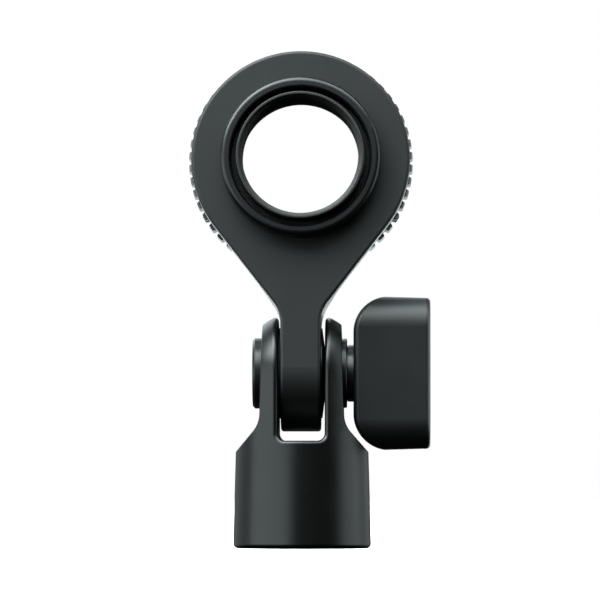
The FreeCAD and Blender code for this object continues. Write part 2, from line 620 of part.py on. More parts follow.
def build_pivot_washers():
    """The discs, washers and the bush that are threaded on the pivot bolt."""
    bore = WASHER_BORE_RADIUS
    disc_radius = "(Sizes.hub_radius - Sizes.friction_disc_inset)"
    ring_part("friction_disc", ON_HEAD_PIVOT, bore, disc_radius, LEFT_EAR_X, HUB_LEFT_X)
    ring_part(
        "hub_bush",
        ON_HEAD_PIVOT,
        BOLT_HOLE_RADIUS,
        BUSH_RADIUS,
        HUB_LEFT_X + " + Sizes.bush_recess",
        HUB_RIGHT_X + " - Sizes.bush_recess",
    )
    dome_radius = "(Sizes.hub_radius - Sizes.domed_washer_inset)"
    crown_radius = "(" + bore + " + Sizes.domed_washer_crown)"
    turned_part(
        "domed_spring_washer",
        ON_HEAD_PIVOT,
        [
            (bore, RIGHT_EAR_X),
            (bore, RIGHT_EAR_X + " - Sizes.domed_washer_thickness"),
            (crown_radius, RIGHT_EAR_X + " - Sizes.domed_washer_thickness"),
            (dome_radius + " - Sizes.domed_washer_rim", HUB_RIGHT_X),
            (dome_radius, HUB_RIGHT_X),
            (dome_radius, HUB_RIGHT_X + " + Sizes.domed_washer_thickness"),
            (crown_radius, RIGHT_EAR_X),
        ],
    )
    ear_washer = ring_part("ear_washer", ON_PIVOT, bore, "Sizes.ear_washer_radius", RIGHT_SEAT_X, SHIM_X)
    outer_rim = on_rim("Sizes.ear_washer_radius", SHIM_X)
    dress(ear_washer, "Chamfer", "washer_edge", "Sizes.ear_washer_chamfer", outer_rim)
    ring_part("thrust_shim", ON_PIVOT, bore, "Sizes.thrust_shim_radius", SHIM_X, INSERT_X)


def build_stop_pieces():
    """The washer and the screw in the bolt's end that keep the knob from coming off."""
    ring_part(
        "stop_washer",
        ON_PIVOT,
        SCREW_HOLE_RADIUS,
        KNOB_RECESS_RADIUS + " - Sizes.loose_clearance",
        BOLT_END_X,
        STOP_HEAD_X,
    )
    foot = BOLT_END_X + " - Sizes.stop_screw_length"
    screw = turned_part(
        "stop_screw",
        ON_PIVOT,
        [
            ("0", foot),
            ("Sizes.stop_screw_radius", foot),
            ("Sizes.stop_screw_radius", STOP_HEAD_X),
            ("Sizes.stop_screw_head_radius", STOP_HEAD_X),
            ("Sizes.stop_screw_head_radius", STOP_TOP_X),
            ("0", STOP_TOP_X),
        ],
    )
    socket = new_sketch(screw, "XY_Plane", "stop_socket_profile", STOP_TOP_X)
    draw_outline(socket, hexagon("Sizes.stop_screw_socket_width"))
    add_pocket(screw, socket, "stop_socket", "Sizes.stop_screw_socket_depth")


# ---------------------------------------------------------------------------
# Head arm
# ---------------------------------------------------------------------------
def build_head_arm():
    """The arm: a ring plate, slanted sides down to a narrow neck, and the hub on the pivot."""
    body = new_body("head_arm", HEAD_PLACE)
    plate = new_sketch(body, "XZ_Plane", "ring_plate_profile", "Sizes.hub_radius")
    draw_circle(plate, HUB_MIDDLE_X, "Sizes.ring_height", PLATE_RADIUS)
    add_pad(body, plate, "ring_plate", "Sizes.plate_thickness", backwards=True)

    neck = new_sketch(body, "XZ_Plane", "neck_profile", "Sizes.hub_radius")
    draw_outline(
        neck,
        [
            (HUB_LEFT_X, "0"),
            (HUB_RIGHT_X, "0"),
            (HUB_RIGHT_X, NECK_Z, "Sizes.flare_blend"),
            (HUB_MIDDLE_X + " + " + TOUCH_X, TOUCH_Z),
            (HUB_MIDDLE_X, "Sizes.ring_height"),
            (HUB_MIDDLE_X + " - " + TOUCH_X, TOUCH_Z),
            (HUB_LEFT_X, NECK_Z, "Sizes.flare_blend"),
        ],
    )
    add_pad(body, neck, "neck", "Sizes.hub_radius * 2", backwards=True)

    back = new_sketch(body, "YZ_Plane", "back_profile")
    behind = "(Sizes.hub_radius + Sizes.cut_margin)"
    above = "(Sizes.ring_height + " + PLATE_RADIUS + " + Sizes.cut_margin)"
    draw_outline(
        back,
        [
            (SWELL_Y, above),
            (SWELL_Y, SWELL_Z, "Sizes.swell_blend"),
            ("Sizes.hub_radius", HUB_CORNER_Z, "Sizes.hub_radius"),
            ("Sizes.hub_radius", "-Sizes.cut_margin"),
            (behind, "-Sizes.cut_margin"),
            (behind, above),
        ],
    )
    add_pocket(body, back, "back", PLATE_RADIUS + " * 2 + Sizes.cut_margin * 2", side="Symmetric")

    hub = new_sketch(body, "YZ_Plane", "hub_profile", HUB_LEFT_X)
    draw_circle(hub, "0", "0", "Sizes.hub_radius")
    add_pad(body, hub, "hub", HUB_WIDTH)

    dress(body, "Fillet", "arm_edges", "Sizes.plate_rounding", on_sharp_edge(body))

    ring_bore = new_sketch(body, "XZ_Plane", "ring_bore_profile", "Sizes.hub_radius")
    bore_radius = SPIGOT_RADIUS + " + Sizes.press_clearance"
    draw_circle(ring_bore, HUB_MIDDLE_X, "Sizes.ring_height", bore_radius)
    add_pocket(body, ring_bore, "ring_bore", "Sizes.plate_thickness")
    hub_bore = new_sketch(body, "YZ_Plane", "hub_bore_profile", HUB_LEFT_X)
    draw_circle(hub_bore, "0", "0", BUSH_RADIUS + " + Sizes.press_clearance")
    add_pocket(body, hub_bore, "hub_bore", HUB_WIDTH, backwards=True)
    return body


# ---------------------------------------------------------------------------
# Collar, thread sleeve and thumb ring
# ---------------------------------------------------------------------------
def build_front_collar():
    """The collar pressed into the plate: it guards the sleeve and carries it in its bore."""
    body = turned_part(
        "front_collar",
        ON_RING,
        [
            (BEARING_RADIUS, PLATE_BACK_Z),
            (SPIGOT_RADIUS, PLATE_BACK_Z),
            (SPIGOT_RADIUS, "0"),
            (COLLAR_RADIUS, "0"),
            (COLLAR_RADIUS, "Sizes.collar_height"),
            (COLLAR_BORE_RADIUS, "Sizes.collar_height"),
            (COLLAR_BORE_RADIUS, LEDGE_Z),
            (BEARING_RADIUS, LEDGE_Z),
        ],
    )
    outer_rim = on_rim(COLLAR_RADIUS, "Sizes.collar_height")
    dress(body, "Fillet", "collar_edge", "Sizes.collar_rounding", outer_rim)
    inner_rim = on_rim(COLLAR_BORE_RADIUS, "Sizes.collar_height")
    dress(body, "Chamfer", "collar_lead", "Sizes.collar_lead", inner_rim)


def build_slip_washers():
    """The two washers that the sleeve's flange and the thumb ring turn against."""
    ring_part(
        "front_slip_washer",
        ON_RING,
        SLIP_WASHER_BORE_RADIUS,
        COLLAR_BORE_RADIUS + " - Sizes.slip_washer_clearance",
        LEDGE_Z,
        FLANGE_Z,
    )
    ring_part(
        "back_slip_washer",
        ON_RING,
        SLIP_WASHER_BORE_RADIUS,
        PLATE_RADIUS + " - Sizes.back_washer_inset",
        THUMB_FRONT_Z,
        PLATE_BACK_Z,
    )


def build_thread_sleeve():
    """The sleeve with the microphone's thread, plain here at the thread's major radius."""
    body = turned_part(
        "thread_sleeve",
        ON_RING,
        [
            ("Sizes.sleeve_thread_radius", SLEEVE_BACK_Z),
            (SLEEVE_RADIUS, SLEEVE_BACK_Z),
            (SLEEVE_RADIUS, FLANGE_Z),
            (FLANGE_RADIUS, FLANGE_Z),
            (FLANGE_RADIUS, FLANGE_Z + " + Sizes.flange_thickness"),
            (SLEEVE_RADIUS, FLANGE_Z + " + Sizes.flange_thickness"),
            (SLEEVE_RADIUS, "Sizes.sleeve_height"),
            ("Sizes.sleeve_thread_radius", "Sizes.sleeve_height"),
        ],
    )
    outer_rim = on_rim(SLEEVE_RADIUS, "Sizes.sleeve_height")
    inner_rim = on_rim("Sizes.sleeve_thread_radius", "Sizes.sleeve_height")
    dress(body, "Fillet", "sleeve_edge", "Sizes.sleeve_rounding", outer_rim, inner_rim)
    back_rim = on_rim("Sizes.sleeve_thread_radius", SLEEVE_BACK_Z)
    dress(body, "Chamfer", "sleeve_lead", "Sizes.sleeve_lead", back_rim)


def build_thumb_ring():
    """The toothed ring that turns the sleeve."""
    recess_inner = BEARING_RADIUS + " + Sizes.thumb_hub_width"
    recess_outer = THUMB_RADIUS + " - Sizes.thumb_rim_width"
    recess_floor = THUMB_BACK_Z + " + Sizes.thumb_recess_depth"
    body = turned_part(
        "thumb_ring",
        ON_RING,
        [
            (BEARING_RADIUS, THUMB_BACK_Z),
            (recess_inner, THUMB_BACK_Z),
            (recess_inner, recess_floor),
            (recess_outer, recess_floor),
            (recess_outer, THUMB_BACK_Z),
            (THUMB_RADIUS, THUMB_BACK_Z),
            (THUMB_RADIUS, THUMB_FRONT_Z),
            (BEARING_RADIUS, THUMB_FRONT_Z),
        ],
    )
    front_rim = on_rim(THUMB_RADIUS, THUMB_FRONT_Z)
    back_rim = on_rim(THUMB_RADIUS, THUMB_BACK_Z)
    dress(body, "Chamfer", "thumb_edges", "Sizes.thumb_chamfer", front_rim, back_rim)

    screw_hole = new_sketch(body, "XZ_Plane", "grub_hole_profile")
    draw_circle(screw_hole, "0", THUMB_MIDDLE_Z, "Sizes.grub_radius + Sizes.press_clearance")
    hole_length = THUMB_RADIUS + " + Sizes.cut_margin"
    first_hole = add_pocket(body, screw_hole, "grub_hole", hole_length)
    add_circle_of(body, [first_hole], "grub_holes", "Sizes.grub_count")

    gap = new_sketch(body, "XY_Plane", "tooth_gap_profile", THUMB_BACK_Z)
    floor = "(" + THUMB_RADIUS + " - Sizes.tooth_depth)"
    outside = "(" + THUMB_RADIUS + " + Sizes.cut_margin)"
    draw_outline(
        gap,
        [
            (floor, "-Sizes.tooth_gap_floor / 2"),
            (THUMB_RADIUS, "-Sizes.tooth_gap_mouth / 2"),
            (outside, "-Sizes.tooth_gap_mouth / 2"),
            (outside, "Sizes.tooth_gap_mouth / 2"),
            (THUMB_RADIUS, "Sizes.tooth_gap_mouth / 2"),
            (floor, "Sizes.tooth_gap_floor / 2"),
        ],
    )
    first_gap = add_pocket(body, gap, "tooth_gap", "Sizes.thumb_thickness", backwards=True)
    add_circle_of(body, [first_gap], "tooth_gaps", "Sizes.tooth_count")


def build_sleeve_screws():
    """The grub screws that clamp the thumb ring on the sleeve, one group of separate solids."""
    body = new_body("sleeve_screws", ON_RING)
    body.AllowCompound = True
    foot = new_sketch(body, "XZ_Plane", "grub_profile", "-" + BEARING_RADIUS)
    draw_circle(foot, "0", THUMB_MIDDLE_Z, "Sizes.grub_radius")
    screw = add_pad(body, foot, "grub_screw", "Sizes.grub_length", backwards=True)
    mouth = "-(" + BEARING_RADIUS + " + Sizes.grub_length)"
    socket = new_sketch(body, "XZ_Plane", "grub_socket_profile", mouth)
    draw_outline(socket, hexagon("Sizes.grub_socket_width", THUMB_MIDDLE_Z))
    cut = add_pocket(body, socket, "grub_socket", "Sizes.grub_socket_depth", backwards=True)
    add_circle_of(body, [screw, cut], "grub_screws", "Sizes.grub_count")


# ---------------------------------------------------------------------------
# Wing knob
# ---------------------------------------------------------------------------
def build_knob_insert():
    """The threaded insert that the knob is moulded round; its neck bears on the thrust shim."""
    body = turned_part(
        "knob_insert",
        ON_PIVOT,
        [
            (BOLT_HOLE_RADIUS, INSERT_X),
            ("Sizes.insert_neck_radius", INSERT_X),
            ("Sizes.insert_neck_radius", KNOB_X),
            (INSERT_RADIUS, KNOB_X),
            (INSERT_RADIUS, INSERT_END_X),
            (BOLT_HOLE_RADIUS, INSERT_END_X),
        ],
    )
    end_rim = on_rim(INSERT_RADIUS, INSERT_END_X)
    dress(body, "Chamfer", "insert_edge", "Sizes.insert_chamfer", end_rim)


def draw_stadium(sketch, half_length, half_width):
    """Two straight sides with round ends, the long way along the sketch's first axis."""
    centre = number(half_length) - number(half_width)
    width = number(half_width)
    right = Part.Arc(Vector(centre, -width, 0), Vector(centre + width, 0, 0), Vector(centre, width, 0))
    left = Part.Arc(Vector(-centre, width, 0), Vector(-centre - width, 0, 0), Vector(-centre, -width, 0))
    right_end = sketch.addGeometry(right, False)
    left_end = sketch.addGeometry(left, False)
    top = sketch.addGeometry(Part.LineSegment(Vector(centre, width, 0), Vector(-centre, width, 0)), False)
    low = sketch.addGeometry(Part.LineSegment(Vector(-centre, -width, 0), Vector(centre, -width, 0)), False)
    run = ((right_end, top), (top, left_end), (left_end, low), (low, right_end))
    for element, following in run:
        sketch.addConstraint(Sketcher.Constraint("Tangent", element, 2, following, 1))
    reach = "(" + half_length + " - " + half_width + ")"
    pin_point(sketch, right_end, 3, reach, "0")
    pin_point(sketch, left_end, 3, "-" + reach, "0")
    pin_radius(sketch, right_end, half_width)


def build_knob_body():
    """The wing: a flat bar with round ends, slanted corners towards the fork and rounded edges."""
    body = new_body("knob_body", ON_PIVOT)
    section = new_sketch(body, "XY_Plane", "wing_profile", KNOB_X)
    draw_stadium(section, "Sizes.knob_half_height", "Sizes.knob_half_thickness")
    wing = add_pad(body, section, "wing", KNOB_END_X + " - " + KNOB_X)
    wing.setExpression("TaperAngle", "-Sizes.knob_draft")
    document.recompute()

    # What lies outside the slanted corners is cut away as a frame round the kept outline.
    corners = new_sketch(body, "XZ_Plane", "wing_corner_profile")
    cut_end = "(" + KNOB_X + " + Sizes.knob_corner_cut)"
    side = "(Sizes.knob_half_height - Sizes.knob_corner_cut * tan(Sizes.knob_draft * 1deg))"
    cut_side = "(" + side + " - Sizes.knob_corner_cut)"
    outside = "(Sizes.knob_half_height + Sizes.cut_margin)"
    kept_end = "(" + KNOB_END_X + " + Sizes.cut_margin)"
    far_end = "(" + KNOB_END_X + " + Sizes.cut_margin * 2)"
    near_end = "(" + KNOB_X + " - Sizes.cut_margin)"
    blend = "Sizes.knob_corner_blend"
    kept = [
        ("-" + cut_side, KNOB_X, blend),
        (cut_side, KNOB_X, blend),
        (side, cut_end, blend),
        (side, kept_end),
        ("-" + side, kept_end),
        ("-" + side, cut_end, blend),
    ]
    frame = [("-" + outside, near_end), (outside, near_end), (outside, far_end), ("-" + outside, far_end)]
    draw_outline(corners, kept)
    draw_outline(corners, frame)
    add_pocket(body, corners, "wing_corners", "Sizes.knob_half_thickness * 3", side="Symmetric")

    end_height = number(KNOB_END_X)

    def on_outer_end(edge):
        return abs(edge.BoundBox.ZMin - end_height) + abs(edge.BoundBox.ZMax - end_height) < SAME_PLACE

    dress(body, "Fillet", "wing_end", "Sizes.knob_end_rounding", on_outer_end)

    fork_side = number(KNOB_X)
    is_sharp = on_sharp_edge(body)

    def on_fork_side(edge):
        return edge.BoundBox.ZMax < fork_side + SAME_PLACE and is_sharp(edge)

    dress(body, "Fillet", "wing_fork_side", "Sizes.knob_edge_rounding", on_fork_side)
    add_turned(
        body,
        [
            ("0", KNOB_X),
            (INSERT_RADIUS + " + Sizes.press_clearance", KNOB_X),
            (INSERT_RADIUS + " + Sizes.press_clearance", INSERT_END_X),
            (KNOB_RECESS_RADIUS, INSERT_END_X),
            (KNOB_RECESS_RADIUS, KNOB_END_X),
            ("0", KNOB_END_X),
        ],
        "knob_bore",
        cutting=True,
    )


def build_knob_cap():
    """The cap in the knob's outer end, over the stop screw."""
    radius = KNOB_RECESS_RADIUS + " - Sizes.press_clearance"
    profile = [("0", CAP_X), (radius, CAP_X), (radius, CAP_END_X), ("0", CAP_END_X)]
    turned_part("knob_cap", ON_PIVOT, profile)


# ---------------------------------------------------------------------------
# The whole mount
# ---------------------------------------------------------------------------
def check_document():
    """Every object has computed, and every part is a valid shape."""
    for item in document.Objects:
        if "Invalid" in item.State or "Error" in item.State:
            raise RuntimeError("%s failed: %s" % (item.Name, item.State))
    parts = [item for item in document.Objects if item.TypeId == "PartDesign::Body"]
    for part in parts:
        if part.Shape.isNull() or not part.Shape.isValid():
            raise RuntimeError(part.Label + " is not a valid shape")
    return parts


build_stand_yoke()
build_pivot_bolt()
build_pivot_washers()
build_stop_pieces()
build_head_arm()
build_front_collar()
build_slip_washers()
build_thread_sleeve()
build_thumb_ring()
build_sleeve_screws()
build_knob_insert()
build_knob_body()
build_knob_cap()
document.recompute()

os.makedirs("parts", exist_ok=True)
for part in check_document():
    part.Shape.exportStep("parts/%s.step" % part.Label)
    print("%-20s %2d solid(s) %9.2f mm3" % (part.Label, len(part.Shape.Solids), part.Shape.Volume))
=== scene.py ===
# %% [markdown]
# # A swivel stand mount, finished and lit
# The real thing is a small clamp that carries a microphone on a stand: a forked foot, a flat arm
# with a ring at its top, a toothed thumb ring behind it and a wing knob that locks the tilt. Its
# pieces come from the CAD model, already in place. This lesson gives them their finishes, winds the
# two thread ridges that the CAD leaves out, and sets the camera, the light and the room. Lengths are
# in metres unless a name ends in _MM or _mm, and angles are in degrees until they are used.

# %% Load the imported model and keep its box
import json
import math

import bpy
import numpy as np
from mathutils import Euler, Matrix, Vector


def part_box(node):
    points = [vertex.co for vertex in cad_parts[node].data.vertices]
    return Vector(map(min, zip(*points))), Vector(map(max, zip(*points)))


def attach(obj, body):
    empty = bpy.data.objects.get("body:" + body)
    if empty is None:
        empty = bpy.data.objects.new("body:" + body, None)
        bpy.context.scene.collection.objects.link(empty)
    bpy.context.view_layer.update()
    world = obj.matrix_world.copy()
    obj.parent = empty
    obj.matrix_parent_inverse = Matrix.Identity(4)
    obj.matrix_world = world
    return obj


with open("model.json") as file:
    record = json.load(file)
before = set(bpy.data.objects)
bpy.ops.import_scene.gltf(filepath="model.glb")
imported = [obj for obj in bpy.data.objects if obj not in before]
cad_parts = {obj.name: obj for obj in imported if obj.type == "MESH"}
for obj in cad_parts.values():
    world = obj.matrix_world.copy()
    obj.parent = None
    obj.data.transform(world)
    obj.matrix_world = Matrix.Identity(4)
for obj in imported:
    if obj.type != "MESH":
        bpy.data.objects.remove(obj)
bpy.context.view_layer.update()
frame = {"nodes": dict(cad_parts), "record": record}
nodes = frame["nodes"]
record = frame["record"]
bodies = record["behaviour"]["bodies"]
mounts = {mount["name"]: mount for mount in record["mounts"]}
print("nodes:", len(nodes), "bodies:", {name: len(members) for name, members in bodies.items()})

# %% [markdown]
# ## Small helpers
# Three helpers carry the lesson. One turns an sRGB hex colour, as read off a swatch, into the
# linear numbers that a renderer mixes. One adds a shader node, sets it and wires it in a single
# call, so that a finish reads like a recipe. One starts a finish from an empty material.

# %% Colour and node helpers
MM = 0.001


def linear(hex_colour):
    """Linear RGBA of an sRGB hex colour: c/12.92 below 0.04045, else ((c + 0.055)/1.055)^2.4."""
    channels = [int(hex_colour[place : place + 2], 16) / 255 for place in (1, 3, 5)]
    mixed = [c / 12.92 if c <= 0.04045 else ((c + 0.055) / 1.055) ** 2.4 for c in channels]
    return (*mixed, 1.0)


def add_node(tree, kind, inputs=None, **settings):
    """Adds a node. Each input takes a plain value, or another node's output socket."""
    node = tree.nodes.new(kind)
    for name, value in settings.items():
        setattr(node, name, value)
    for name, value in (inputs or {}).items():
        if isinstance(value, bpy.types.NodeSocket):
            tree.links.new(value, node.inputs[name])
        else:
            node.inputs[name].default_value = value
    return node


def new_material(name, **shader_values):
    """An empty finish: its tree, its shader with plain values set, and the object's coordinates."""
    material = bpy.data.materials.new(name)
    material.use_nodes = True
    tree = material.node_tree
    shader = tree.nodes["Principled BSDF"]
    for socket, value in shader_values.items():
        shader.inputs[socket.replace("_", " ")].default_value = value
    place = add_node(tree, "ShaderNodeTexCoord").outputs["Object"]
    return material, tree, shader, place


print("mid grey in linear light:", round(linear("#808080")[0], 3))

# %% [markdown]
# ## The camera
# A long lens a metre away keeps the mount's sides almost parallel, as in a catalogue picture. The
# camera stands low, level with the foot, and looks very slightly up, so the underside of the ring
# shows and the foot's bottom edge reads as a straight line. It also stands a touch to the right of
# the middle, which opens the left inner wall of the ring a little more than the right one.

# %% Set up the camera
CAMERA_DISTANCE = 0.992
CAMERA_HEIGHT = 0.015
CAMERA_LEFTWARDS = 0.0004
CAMERA_AZIMUTH = 1.0
CAMERA_RISE = 1.8
LEVEL = 90  # a camera looks straight down until it is turned up by this much
LENS_MM = 319.3
SENSOR_MM = 36.0

camera_turn = math.radians(CAMERA_AZIMUTH)
camera_data = bpy.data.cameras.new("camera")
camera_data.lens = LENS_MM
camera_data.sensor_width = SENSOR_MM
camera = bpy.data.objects.new("camera", camera_data)
camera.location = (
    CAMERA_DISTANCE * math.sin(camera_turn) - CAMERA_LEFTWARDS,
    -CAMERA_DISTANCE * math.cos(camera_turn),
    CAMERA_HEIGHT,
)
camera.rotation_euler = Euler((math.radians(LEVEL + CAMERA_RISE), 0, camera_turn))
bpy.context.collection.objects.link(camera)
bpy.context.scene.camera = camera
print("camera at", [round(value, 3) for value in camera.location], "lens", LENS_MM, "mm")

# %% [markdown]
# ## A softbox
# Black satin shows hardly any colour of its own: what the eye reads is the shape of the lights in
# it. A softbox is an area light, and its power follows from the brightness that its face should
# have: a flat light of area A and brightness L gives pi * A * L. A spotlight would be quicker to
# set, but it leaves a hard dot on satin instead of a broad soft streak.

# %% Make a softbox and its flags
SUBJECT = Vector((0, 0, 0.045))  # about halfway up the mount
TUBE_COLOUR = linear("#f1feff")[:3]
WHITE = linear("#ffffff")[:3]
OVERHEAD = 90


def softbox(name, azimuth, elevation, distance, width, height, brightness, colour=TUBE_COLOUR):
    """A rectangular light aimed at the subject. Azimuth 0 is the camera's side, negative is left."""
    turn, rise = math.radians(azimuth + CAMERA_AZIMUTH), math.radians(elevation)
    level_reach = math.cos(rise)
    outwards = Vector((math.sin(turn) * level_reach, -math.cos(turn) * level_reach, math.sin(rise)))
    light = bpy.data.lights.new(name, "AREA")
    light.shape = "RECTANGLE"
    light.size = width
    light.size_y = height
    light.energy = math.pi * width * height * brightness
    light.color = colour
    lamp = bpy.data.objects.new(name, light)
    lamp.location = SUBJECT + outwards * distance
    lamp.rotation_euler = outwards.to_track_quat("Z", "Y").to_euler()
    lamp.visible_camera = False
    bpy.context.collection.objects.link(lamp)
    return lamp


def light_only(lamp, things):
    """Keeps a lamp's light to some objects, as a studio's black flags do."""
    group = bpy.data.collections.new("lit_by_" + lamp.name)
    for thing in things:
        group.objects.link(thing)
    lamp.light_linking.receiver_collection = group


def paper_glow(name, centre, width, depth, brightness):
    """A sheet of pale paper that gives light upwards: a softbox, laid flat at its centre."""
    sheet = softbox(name, 0, OVERHEAD, 1.0, width, depth, brightness)
    sheet.location = Vector(centre)
    sheet.rotation_euler = Euler((math.pi, 0, math.radians(CAMERA_AZIMUTH)))
    return sheet


print("a softbox hangs round", tuple(SUBJECT), "in", [round(value, 3) for value in TUBE_COLOUR])

# %% [markdown]
# ## The rig
# Softboxes stand on the left and on the right, and reach round behind the mount so that its rims
# are drawn against the pale room. The front stays dark between them, and that gap is what paints
# the black stripe down the round foot. Higher boxes light the tops of the ears, the collar and the
# wing. Seven lights are flagged, so that each reaches a few pieces alone. A weak front box lifts
# all that stands above the foot. One box at each side draws the thumb ring's teeth, one picks out
# the knob's end, and one the collar's rounded edge. Pale paper on the floor behind and a box at the
# back light the thin side walls, which mirror the room behind them.

# %% Hang the softboxes
RIG = [
    # name, azimuth from the camera's side, elevation, distance, width, height, brightness
    ("left_softbox", -58, 0, 0.9, 1.42, 0.4, 2.4),
    ("left_key_softbox", -58, 47, 0.8, 0.55, 0.6, 11.5),
    ("left_rim_softbox", -130, 8, 0.9, 1.05, 0.9, 0.4),
    ("right_softbox", 92, 8, 0.9, 0.8, 0.9, 1.45),
    ("right_rim_softbox", 137, 8, 0.9, 0.62, 0.9, 0.55),
    ("right_key_softbox", 62, 56, 0.8, 0.4, 0.4, 6.0),
    ("top_softbox", -6, 55, 0.8, 0.7, 0.6, 4.6),
    ("overhead_softbox", -60, 82, 0.8, 0.6, 0.4, 6.0),
    ("back_softbox", 200, 25, 0.9, 0.9, 0.6, 2.0),
]
ABOVE_THE_FOOT = [name for body in ("head", "ring", "knob") for name in bodies[body]]
FLAGGED_RIG = [
    # the pieces that alone receive the light, then the same values as above
    (ABOVE_THE_FOOT, "front_softbox", -26, 30, 0.8, 0.7, 0.36, 1.5),
    (["thumb_ring"], "teeth_left_softbox", -95, 12, 0.7, 0.5, 0.5, 7.0),
    (["thumb_ring"], "teeth_right_softbox", 95, 12, 0.7, 0.5, 0.5, 5.0),
    (["knob_body"], "knob_softbox", 82, 8, 0.9, 0.8, 0.9, 2.6),
    (["front_collar"], "collar_softbox", -30, 52, 0.8, 1.1, 0.4, 1.6),
]
side_walls = [nodes[name] for name in ("head_arm", "thumb_ring", "knob_body")]
PAPER_BEHIND = ("floor_behind", (0, 0.5, 0.004), 1.6, 0.9, 3.0)
BACKDROP = ("backdrop_softbox", 186, 4, 0.9, 1.8, 0.5, 1.2)

for placing in RIG:
    softbox(*placing)
for names, *placing in FLAGGED_RIG:
    light_only(softbox(*placing), [nodes[name] for name in names])
light_only(paper_glow(*PAPER_BEHIND), side_walls)
light_only(softbox(*BACKDROP, WHITE), side_walls)

# %% [markdown]
# ## The room
# The room is plain: a pale paper floor and a pale wall of air behind it. The camera sees the world
# as white, while the object sees a dim room, because a white room would grey the black enamel all
# over. The floor is kept out of the object's reflections for the same reason, and it has a wide
# light of its own, so that only the softest shadow is left under the foot.

# %% Lay the floor and fill the room
ROOM_GLOW = 0.01
FLOOR_HALF = 1.5
FLOOR_SINK = 0.05 * MM
FLOOR_LIGHT = ("floor_softbox", 0, OVERHEAD, 1.2, 2 * FLOOR_HALF, 2 * FLOOR_HALF, 3.6)

world = bpy.data.worlds.new("studio_room")
bpy.context.scene.world = world
world.use_nodes = True
room = world.node_tree
room.nodes.clear()
rays = add_node(room, "ShaderNodeLightPath")
dim = add_node(room, "ShaderNodeBackground", {"Color": linear("#ffffff"), "Strength": ROOM_GLOW})
white = add_node(room, "ShaderNodeBackground", {"Color": linear("#ffffff"), "Strength": 1.0})
seen = add_node(
    room,
    "ShaderNodeMixShader",
    {0: rays.outputs["Is Camera Ray"], 1: dim.outputs[0], 2: white.outputs[0]},
)
add_node(room, "ShaderNodeOutputWorld", {"Surface": seen.outputs[0]})

floor_corners = np.array([(-1, -1, 0), (1, -1, 0), (1, 1, 0), (-1, 1, 0)]) * FLOOR_HALF
floor_mesh = bpy.data.meshes.new("floor")
floor_mesh.from_pydata(floor_corners.tolist(), [], [(0, 1, 2, 3)])
floor = bpy.data.objects.new("floor", floor_mesh)
floor.location.z = -FLOOR_SINK
floor.visible_glossy = False
floor.visible_diffuse = False
bpy.context.collection.objects.link(floor)
paper = new_material("pale_paper_floor", Base_Color=linear("#f4f4f2"), Roughness=0.9)[0]
floor_mesh.materials.append(paper)
light_only(softbox(*FLOOR_LIGHT, WHITE), [floor])
bpy.context.scene.view_settings.view_transform = "Standard"
print("floor", 2 * FLOOR_HALF, "m square")

# %% [markdown]
# ## The shape of a thread
# The ring takes a microphone's thread and the foot takes a stand's. On the real mount both are cut
# by a tap, which leaves one long ridge winding down the bore. In the CAD model each bore is a
# plain cylinder at the thread's largest radius, so the ridge is added here. A screw modifier would
# do it in one step, but a formula is shorter to state and easier to check: the ridge's profile, a
# flat-topped tooth, is carried along a helix as one grid of points. At the mouth a countersink has
# cut the crests back along a cone, so that a screw finds its way in.

# %% Work out the ridge's skin
TOOTH_OFFSETS = np.array([-0.45, -0.13, -0.06, 0.06, 0.13, 0.45])
TOOTH_HEIGHTS = np.array([0.0, 0.93, 1.0, 1.0, 0.93, 0.0])
STEPS_PER_TURN = 96
FADE_TURNS = 0.4
FADE_LEAST = 0.1
BURIED = 0.02 * MM


def ridge_skin(mount, mouth, crest_radius, pitch, start, length, lead):
    """Points and faces of the ridge in a threaded bore.

    At turn t the profile stands at angle 2 pi t and at depth start + pitch * (t + 1/2 + offset)
    under the bore's mouth. Its radius runs from just behind the bore's wall, where its foot is
    buried, to crest_radius, by the tooth's height. Over the first and last part of a turn height
    and width fade to a tenth, and down to the depth "lead" the crests are cut back along a cone
    that opens to the bore's wall.
    """
    axis = np.array(mount["axis"], dtype=float)
    across = np.array((1.0, 0.0, 0.0))
    up = np.cross(axis, across)
    wall_radius = mount["dims"]["r_mm"] * MM
    root_radius = wall_radius + BURIED
    turns = length / pitch - 1.0
    t = np.linspace(0.0, turns, int(turns * STEPS_PER_TURN))[:, None]
    grown = np.clip(np.minimum(t, turns - t) / FADE_TURNS, FADE_LEAST, 1.0)
    depth = start + pitch * (t + 0.5 + grown * TOOTH_OFFSETS)
    whole = root_radius - (root_radius - crest_radius) * grown * TOOTH_HEIGHTS
    cone = wall_radius - (wall_radius - crest_radius) * depth / lead
    cut_back = np.maximum(whole, np.minimum(cone, wall_radius + BURIED / 2))
    radius = np.where(TOOTH_HEIGHTS > 0, cut_back, whole)
    angle = 2 * np.pi * t
    points = (
        mouth
        - depth[..., None] * axis
        + (radius * np.cos(angle))[..., None] * across
        + (radius * np.sin(angle))[..., None] * up
    )
    rows, columns = depth.shape
    first = (np.arange(rows - 1)[:, None] * columns + np.arange(columns)).ravel()
    beside = (np.arange(rows - 1)[:, None] * columns + np.roll(np.arange(columns), -1)).ravel()
    quads = np.column_stack([first, beside, beside + columns, first + columns])
    ends = [list(range(columns))[::-1], list(range((rows - 1) * columns, rows * columns))]
    return points.reshape(-1, 3), quads.tolist() + ends


def volume_of(points, faces):
    """Signed volume: a sixth of the triple products of each face's fan. Outward faces give plus."""
    corners = np.array([(f[0], f[k], f[k + 1]) for f in faces for k in range(1, len(f) - 1)])
    a, b, c = (points[corners[:, k]] for k in range(3))
    return float(np.einsum("ij,ij->i", a, np.cross(b, c)).sum() / 6)


print("a turn of thread has", STEPS_PER_TURN, "steps of", len(TOOTH_OFFSETS), "points")

